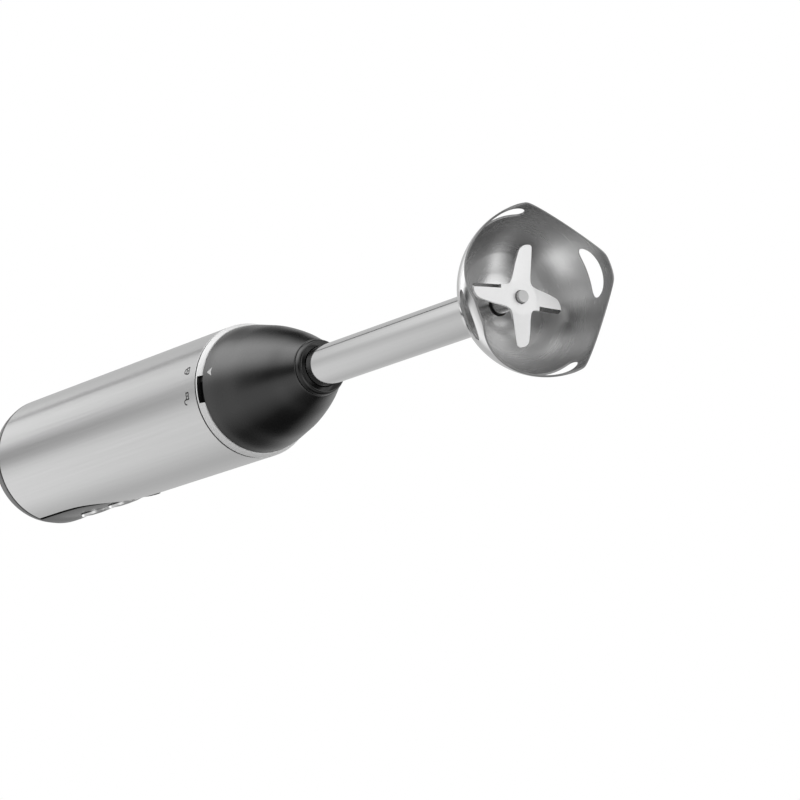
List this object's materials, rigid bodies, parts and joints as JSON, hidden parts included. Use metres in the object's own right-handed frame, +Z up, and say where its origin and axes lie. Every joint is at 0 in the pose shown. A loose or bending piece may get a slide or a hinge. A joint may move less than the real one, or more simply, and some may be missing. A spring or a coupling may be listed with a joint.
{
  "type": "immersion blender",
  "caption": "Hand-held immersion blender: steel motor handle with press buttons and a speed dial, and a twist-off foot with a tube, bell guard and cross blade.",
  "frame": {"origin": "centre of the plane that the four feet of the bell touch, on the drive axis", "axes": "+Z up the drive axis from the bell to the handle; -Y is the side with the buttons; +X completes the right-handed frame"},
  "size_m": [0.0702, 0.0702, 0.428],
  "materials": {
    "brushed_steel": "lengthwise brushed stainless steel",
    "polished_steel": "polished stainless steel",
    "chrome": "bright chrome plating",
    "soft_black": "satin soft-touch coating",
    "gloss_black": "gloss moulded plastic",
    "grey_plastic": "matte moulded plastic",
    "white_nylon": "natural nylon",
    "rubber": "matte black rubber",
    "copper": "enamelled copper winding",
    "brass": "pressed brass",
    "bronze": "oil-soaked sintered bronze",
    "lamination_steel": "stacked electrical steel",
    "carbon": "pressed carbon",
    "circuit_board": "glass-fibre board with solder mask",
    "aluminium": "satin aluminium",
    "film_capacitor": "moulded capacitor case"
  },
  "bodies": {
    "handle": {"handle_sleeve": "brushed_steel", "bezel_ring": "chrome", "front_panel": "soft_black", "bayonet_socket": "grey_plastic", "carrier_left": "grey_plastic", "carrier_right": "grey_plastic", "top_cap": "soft_black", "cord_gland": "rubber", "power_switch": "grey_plastic", "turbo_switch": "grey_plastic", "circuit_board": "circuit_board", "capacitor": "film_capacitor", "heat_sink": "aluminium", "choke": "copper", "speed_sensor": "circuit_board", "stator_stack": "lamination_steel", "field_coil_left": "copper", "field_coil_right": "copper", "lower_bearing": "polished_steel", "upper_bearing": "polished_steel", "lower_bracket": "aluminium", "upper_bracket": "aluminium", "motor_bolt_front": "polished_steel", "motor_bolt_rear": "polished_steel", "brush_holder_front": "brass", "brush_holder_rear": "brass", "carbon_brush_front": "carbon", "carbon_brush_rear": "carbon"},
    "rotor": {"armature_core": "lamination_steel", "upper_winding": "copper", "lower_winding": "copper", "commutator": "copper", "motor_shaft": "polished_steel", "cooling_fan": "white_nylon", "drive_coupling": "white_nylon"},
    "foot": {"bell_guard": "brushed_steel", "foot_tube": "polished_steel", "foot_dome": "soft_black", "collar_ring": "gloss_black", "bayonet_collar": "white_nylon", "collar_screw_1": "polished_steel", "collar_screw_2": "polished_steel", "collar_screw_3": "polished_steel", "lower_bush": "bronze", "upper_bush": "bronze", "shaft_seal": "rubber"},
    "blade_drive": {"drive_shaft": "polished_steel", "driven_coupling": "white_nylon", "blade_sleeve": "polished_steel", "blade": "polished_steel"},
    "dial": {"speed_dial": "gloss_black", "dial_spindle": "polished_steel"},
    "power_push": {"power_button": "gloss_black", "power_plunger": "white_nylon"},
    "turbo_push": {"turbo_button": "grey_plastic", "turbo_plunger": "white_nylon"}
  },
  "joints": [
    {"name": "rotor_spin", "type": "hinge", "parent": "handle", "child": "rotor", "pos_m": [0, 0, 0.276], "axis": [0, 0, 1], "continuous": true},
    {"name": "foot_twist", "type": "hinge", "parent": "handle", "child": "foot", "pos_m": [0, 0, 0.2175], "axis": [0, 0, -1], "range_deg": [0, 17.5]},
    {"name": "blade_spin", "type": "hinge", "parent": "foot", "child": "blade_drive", "pos_m": [0, 0, 0.0165], "axis": [0, 0, 1], "continuous": true},
    {"name": "dial_turn", "type": "hinge", "parent": "handle", "child": "dial", "pos_m": [0, -0.007, 0.424], "axis": [0, 0, -1], "range_deg": [0, 270]},
    {"name": "power_press", "type": "slide", "parent": "handle", "child": "power_push", "axis": [0, 1, 0], "range_m": [0, 0.0015], "stiffness_N_per_m": 600, "springref_m": -0.001},
    {"name": "turbo_press", "type": "slide", "parent": "handle", "child": "turbo_push", "axis": [0, 1, 0], "range_m": [0, 0.0015], "stiffness_N_per_m": 600, "springref_m": -0.001}
  ],
  "couplings": [
    {"joint": "blade_spin", "follows": "rotor_spin", "ratio": 1}
  ]
}
